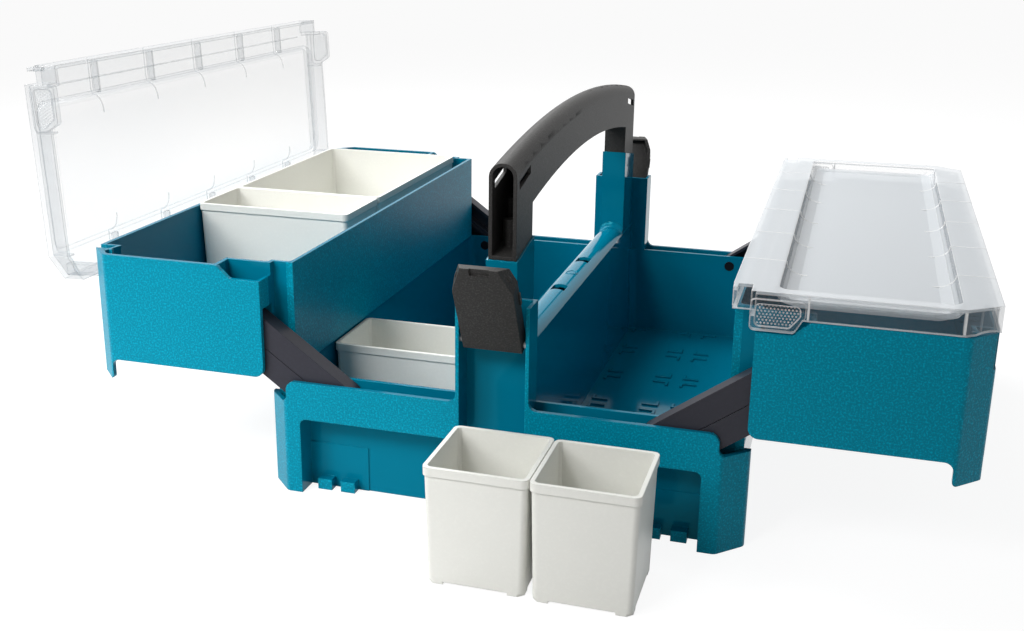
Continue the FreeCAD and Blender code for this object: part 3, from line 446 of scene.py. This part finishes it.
def lid_lines(side, ribs, ridges, material):
    """What shows of the webs inside a lid: lines across the borders, ridges down the slopes of the
    sunken plate, the long web under the inner border and the short ones in the end skirts."""
    inner, outer = 24.0, 20.0
    count, pitch = 5, 66.0
    line_width, line_height, clear = 0.9, 0.3, 1.0
    over, under_top = 0.3, 0.2
    spots, ticks, tops, turns = [], [], [], []
    for i in range(count):
        y = (i - count // 2) * pitch
        spots += [(lid_edge + inner / 2, y, lid_top), (lid_outer - outer / 2, y, lid_top)]
        ticks += [False, True]
        tops += [(lid_edge + inner + over, y, lid_top - under_top),
                 (lid_outer - outer - over, y, lid_top - under_top)]
        turns += [0.0, math.pi]
    sizes = {"Bar X": inner - clear, "Bar Y": line_width, "Tick X": outer - clear, "Tick Y": line_width,
             "Height": line_height}
    place_lid_piece(grow(side + "_lid_rib_lines", ribs, spots, sizes, material, tick=ticks), side)
    sizes = {"Run": 12.0, "Drop": 7.8, "Radius": 0.45}
    place_lid_piece(grow(side + "_lid_slope_ridges", ridges, tops, sizes, material, turn=turns), side)

    under, low = lid_top - lid_wall, lid_top - 14.2
    long_x, long_half, long_width, long_drop = lid_edge + 12.7, 170.0, 1.0, 3.0
    skirt_half, skirt_reach, skirt_inside = 0.6, 5.0, 195.8
    boxes = [((long_x, -long_half, under - long_drop), (long_x + long_width, long_half, under))]
    for x in (lid_edge + 40.4, lid_edge + 117.9):
        for y in (-skirt_inside, skirt_inside - skirt_reach):
            boxes.append(((x - skirt_half, y, low), (x + skirt_half, y + skirt_reach, under)))
    place_lid_piece(blocks(side + "_lid_webs", boxes, material), side)


def ring_mark(name, body, centre, radius, material):
    """A low moulded ring that follows the divider's crown."""
    around, wire = 40, 6
    half_thick = 0.35
    corners = []
    for i in range(around):
        angle = 2 * math.pi * i / around
        out = Vector((math.cos(angle), math.sin(angle), 0))
        for j in range(wire):
            tilt = 2 * math.pi * j / wire
            point = out * (radius + half_thick * math.cos(tilt))
            sag = crown_radius - math.sqrt(crown_radius ** 2 - point.x ** 2)
            corners.append(Vector(centre) + point + Vector((0, 0, half_thick * math.sin(tilt) - sag)))
    faces = []
    for i in range(around):
        for j in range(wire):
            here, ahead = i * wire, (i + 1) % around * wire
            up = (j + 1) % wire
            faces.append((here + j, ahead + j, ahead + up, here + up))
    ring = shaped(name, corners, faces, material)
    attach(ring, body)


def crown_fillet(name, end, radius):
    """Hollow fillet where the divider's crown runs up to a handle column; end is -1 or 1."""
    across, steps = 12, 6
    half_width, column_y, root = 9.4, 143.0, 0.3
    corners = []
    for i in range(across + 1):
        x = half_width * (2 * i / across - 1)
        crown = crown_top - crown_radius + math.sqrt(crown_radius ** 2 - x * x)
        for j in range(steps + 1):
            angle = math.pi / 2 * j / steps
            y = column_y - radius + radius * math.sin(angle)
            corners.append((x, end * y, crown + radius * (1 - math.cos(angle))))
        corners.append((x, end * (column_y + root), crown - root))
    row = steps + 2
    faces = []
    for i in range(across):
        for j in range(row):
            a, b = i * row + j, i * row + (j + 1) % row
            quad = (a, a + row, b + row, b)
            faces.append(quad if end > 0 else quad[::-1])
    last = across * row
    faces.append(tuple(range(row)) if end > 0 else tuple(range(row))[::-1])
    faces.append(tuple(last + j for j in range(row))[::-1] if end > 0 else tuple(last + j for j in range(row)))
    fillet = shaped(name, corners, faces, plain_teal)
    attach(fillet, "base")


def latch_dimples(end):
    """A small raised oval on each bevel of a latch."""
    rings, around = 4, 16
    length, width, height, root = 4.6, 3.0, 0.9, 0.15
    normal = Vector((0.905, 0.219, 0.364)).normalized()
    along = Vector((-0.374, 0.0, 0.927)).normalized()
    across = normal.cross(along).normalized()
    centre = Vector((15.3, latch_pin_y + 0.75, latch_pin_z + 51.1))
    corners, faces = [], []
    for side in (-1, 1):
        start = len(corners)
        for r in range(rings):
            spread = math.cos(math.pi / 2 * r / rings)
            rise = height * math.sin(math.pi / 2 * r / rings) - root
            for i in range(around):
                angle = 2 * math.pi * i / around
                point = centre + along * (length / 2 * spread * math.cos(angle))
                point += across * (width / 2 * spread * math.sin(angle)) + normal * rise
                corners.append(Vector((side * point.x, point.y, point.z)))
        for r in range(rings - 1):
            for i in range(around):
                a, b = start + r * around + i, start + r * around + (i + 1) % around
                quad = (a, b, b + around, a + around)
                faces.append(quad if side > 0 else quad[::-1])
        cap = tuple(start + (rings - 1) * around + i for i in range(around))
        foot = tuple(start + i for i in range(around))[::-1]
        faces += [cap, foot] if side > 0 else [cap[::-1], foot[::-1]]
    dimples = shaped(end + "_latch_dimples", corners, faces, black_grip)
    pin = Matrix.Translation(Vector((0, latch_pin_y, latch_pin_z)) * MM)
    dimples.data.transform(pin @ Matrix.Rotation(-latch_lean, 4, "X") @ pin.inverted())
    if end == "front":
        dimples.data.transform(Matrix.Diagonal((1, -1, 1, 1)))
        dimples.data.flip_normals()
    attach(dimples, end + "_latch_flap")


ribs = rib_tree()
dots = dome_tree()
ridges = ridge_tree()
tray_cell, bay_cell = 59.0, 60.0
bay_columns = lines(divider_half, tray_cell, 2)
left_columns = [-x for x in bay_columns[::-1]]
bay_rows = lines(-3 * bay_cell, bay_cell, 6)
floor_ribs("bay_floor_ribs", "base", ribs, [(bay_columns, bay_rows), (left_columns, bay_rows[:2]),
                                            (left_columns, bay_rows[2:])], bay_floor)
tray_columns = lines(lid_outer - 3.0 - 2 * tray_cell, tray_cell, 2)
tray_rows = lines(-179.0, tray_cell, 6)
floor_ribs("right_tray_floor_ribs", "right_tray_set", ribs, [(tray_columns, tray_rows)], tray_floor)
floor_ribs("left_tray_floor_ribs", "left_tray_set", ribs, [([-x for x in tray_columns[::-1]], tray_rows[:3])],
           tray_floor)
for side, web in (("left", left_web_painted_shade), ("right", right_web_painted_light)):
    lid_grip(side, dots, dot_clear)
    lid_lines(side, ribs, ridges, web)
ring_mark("divider_ring_mark", "base", (0, 0, crown_top + 0.05), 4.2, plain_teal)
for end, name in ((-1, "front"), (1, "rear")):
    crown_fillet(name + "_crown_fillet", end, 5.0)
    latch_dimples(name)


def seen_directly(tree):
    """One for rays that look at the backdrop, straight or through or off something; else nought."""
    light = add(tree, "ShaderNodeLightPath")
    through = add(tree, "ShaderNodeMath", {0: light.outputs["Is Camera Ray"], 1: light.outputs["Is Transmission Ray"]},
                  operation="MAXIMUM")
    mirrored = add(tree, "ShaderNodeMath", {0: through.outputs[0], 1: light.outputs["Is Glossy Ray"]},
                   operation="MAXIMUM")
    return mirrored.outputs[0]


def studio_floor():
    """A pale floor that melts into the white background and keeps the soft shadow."""
    size, low = 6.0, -0.2 * MM
    grey, brightness, glow_share = 0.8, 1.2, 0.75
    mesh = bpy.data.meshes.new("floor")
    mesh.from_pydata([(-size, -size, low), (size, -size, low), (size, size, low), (-size, size, low)], [],
                     [(0, 1, 2, 3)])
    floor = bpy.data.objects.new("studio_floor", mesh)
    bpy.context.scene.collection.objects.link(floor)
    material, tree = new_material("white studio floor")
    paint = add(tree, "ShaderNodeBsdfDiffuse", {"Color": (grey, grey, grey, 1)})
    glow = add(tree, "ShaderNodeEmission", {"Color": (1, 1, 1, 1), "Strength": brightness})
    share = add(tree, "ShaderNodeMath", {0: seen_directly(tree), 1: glow_share}, operation="MULTIPLY")
    mixed = add(tree, "ShaderNodeMixShader", {0: share.outputs[0], 1: paint.outputs[0], 2: glow.outputs[0]})
    add(tree, "ShaderNodeOutputMaterial", {"Surface": mixed.outputs[0]})
    mesh.materials.append(material)


def studio_world():
    """White where it is seen, a softer grey as light."""
    as_light, as_seen = 0.28, 1.0
    world = bpy.data.worlds.new("studio")
    bpy.context.scene.world = world
    world.use_nodes = True
    tree = world.node_tree
    tree.nodes.clear()
    strength = add(tree, "ShaderNodeMapRange", {"Value": seen_directly(tree), "To Min": as_light,
                                                   "To Max": as_seen})
    sky = add(tree, "ShaderNodeBackground", {"Color": (1, 1, 1, 1), "Strength": strength.outputs[0]})
    add(tree, "ShaderNodeOutputWorld", {"Surface": sky.outputs[0]})


def area_lamp(name, place, target, size, watts, spread=180.0):
    """A soft box aimed at a point; a spread below 180 degrees is a grid on its front."""
    data = bpy.data.lights.new(name, "AREA")
    data.shape = "RECTANGLE"
    data.size, data.size_y = size
    data.energy = watts
    data.spread = math.radians(spread)
    lamp = bpy.data.objects.new(name, data)
    bpy.context.scene.collection.objects.link(lamp)
    lamp.location = place
    aim = Vector(target) - Vector(place)
    lamp.rotation_euler = aim.to_track_quat("-Z", "Y").to_euler()


def photo_camera():
    """The camera solved from the photograph: its turn and place, and its lens in the picture's pixels."""
    picture_width, focal_px, shift_px = 1024, 1215.27, (22.25, -22.77)
    eye = Vector((189.56, -825.62, 344.39))
    azimuth, elevation, roll = (math.radians(v) for v in (16.93, 17.09, 0.45))
    back = Vector((math.sin(azimuth) * math.cos(elevation), -math.cos(azimuth) * math.cos(elevation),
                   math.sin(elevation)))
    right = Vector((math.cos(azimuth), math.sin(azimuth), 0))
    up = back.cross(right)
    turned_right = right * math.cos(roll) + up * math.sin(roll)
    turned_up = up * math.cos(roll) - right * math.sin(roll)
    data = bpy.data.cameras.new("camera")
    data.sensor_width = 36.0
    data.lens = data.sensor_width * focal_px / picture_width
    data.shift_x, data.shift_y = (s / picture_width for s in shift_px)
    camera = bpy.data.objects.new("camera", data)
    bpy.context.scene.collection.objects.link(camera)
    turn = Matrix((turned_right, turned_up, back)).transposed().to_4x4()
    camera.matrix_world = Matrix.Translation(eye * MM) @ turn
    bpy.context.scene.camera = camera


studio_floor()
studio_world()
area_lamp("key", (-0.95, -0.85, 0.8), (-0.3, -0.15, 0.1), (0.6, 0.6), 1.0, 40.0)
area_lamp("left", (-0.55, -1.2, 1.15), (-0.27, -0.08, 0.1), (0.5, 0.5), 1.1, 45.0)
area_lamp("top", (-0.6, 0.5, 1.2), (0, 0, 0.1), (1.0, 1.0), 20)
photo_camera()
bpy.context.scene.view_settings.view_transform = "Standard"
